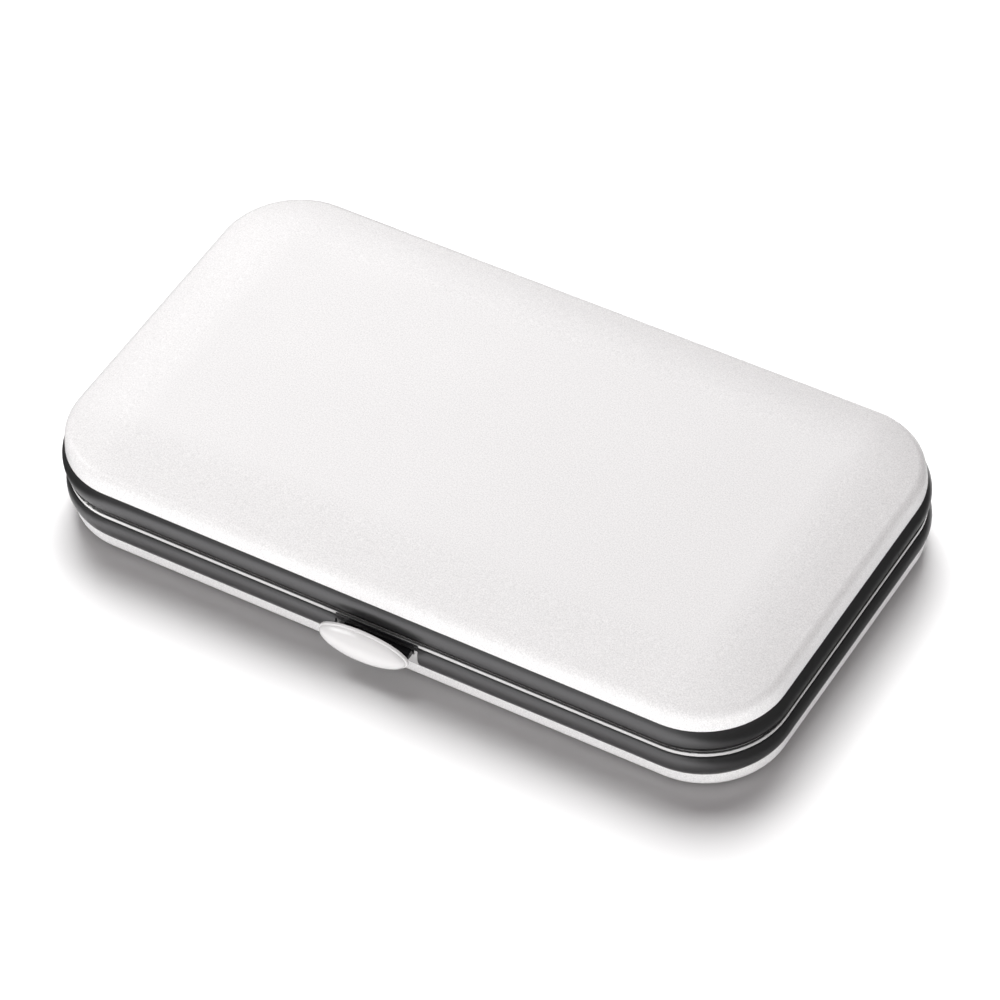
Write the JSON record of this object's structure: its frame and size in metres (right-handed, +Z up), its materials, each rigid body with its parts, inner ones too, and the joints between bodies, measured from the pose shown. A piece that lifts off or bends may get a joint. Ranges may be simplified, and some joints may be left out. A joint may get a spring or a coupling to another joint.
{
  "type": "manicure set case",
  "caption": "Slim hinged case in two metal frames with pearl covers, a push-button clasp, and manicure tools held in elastic on padded liners.",
  "frame": {"origin": "centre of the flat underside of the closed case", "axes": "+X along the case, -Y towards the front with the push button, +Z up through the lid"},
  "size_m": [0.1152, 0.0707, 0.0166],
  "materials": {
    "cover": "pearl white moulded plastic with a fine frosted grain",
    "frame": "satin gunmetal plated steel band",
    "bright_trim": "bright nickel plating",
    "hinge": "satin nickel plated steel",
    "button": "pearl white glossy plastic",
    "slide": "glossy black plastic",
    "spring": "sprung steel strip",
    "liner": "black padded leatherette",
    "elastic": "woven black elastic",
    "tool_steel": "polished tool steel",
    "file_grit": "cross-cut steel",
    "handle": "pearl white moulded plastic"
  },
  "bodies": {
    "base": {"bottom_cover": "cover", "lower_frame": "frame", "rim_trim": "bright_trim", "lower_hinge_leaf": "hinge", "lower_hinge_rivets": "hinge", "hinge_pin": "hinge", "clasp_plate": "bright_trim", "catch_spring": "spring", "catch_spring_rivets": "spring", "base_liner": "liner", "tool_elastic_left": "elastic", "tool_elastic_right": "elastic", "clipper_elastic": "elastic", "clipper_lower_jaw": "tool_steel", "clipper_upper_jaw": "tool_steel", "clipper_lever": "tool_steel", "clipper_post": "tool_steel", "tweezer_arm_lower": "tool_steel", "tweezer_arm_upper": "tool_steel", "pusher_handle": "handle", "pusher_blade": "tool_steel", "file_handle": "handle", "file_blade": "file_grit"},
    "lid": {"top_cover": "cover", "upper_frame": "frame", "upper_hinge_leaf": "hinge", "upper_hinge_rivets": "hinge", "latch_tongue": "spring", "tongue_rivets": "spring", "lid_liner": "liner", "scissor_elastic": "elastic", "scissor_half_fixed": "tool_steel", "scissor_screw": "tool_steel"},
    "button": {"push_button": "button", "button_slide": "slide", "slide_keeper": "spring"},
    "scissor_half": {"scissor_half_moving": "tool_steel"}
  },
  "joints": [
    {"name": "lid_hinge", "type": "hinge", "parent": "base", "child": "lid", "pos_m": [0, 0.03315, 0.00813], "axis": [-1, 0, 0], "range_deg": [0, 180], "deforming": ["catch_spring"]},
    {"name": "button_press", "type": "slide", "parent": "base", "child": "button", "axis": [0, 1, 0], "range_m": [0, 0.0012], "deforming": ["catch_spring"]},
    {"name": "scissor_pivot", "type": "hinge", "parent": "lid", "child": "scissor_half", "pos_m": [0.008, 0.0086, 0.0118], "axis": [0, 0, 1], "range_deg": [0, 18]}
  ]
}
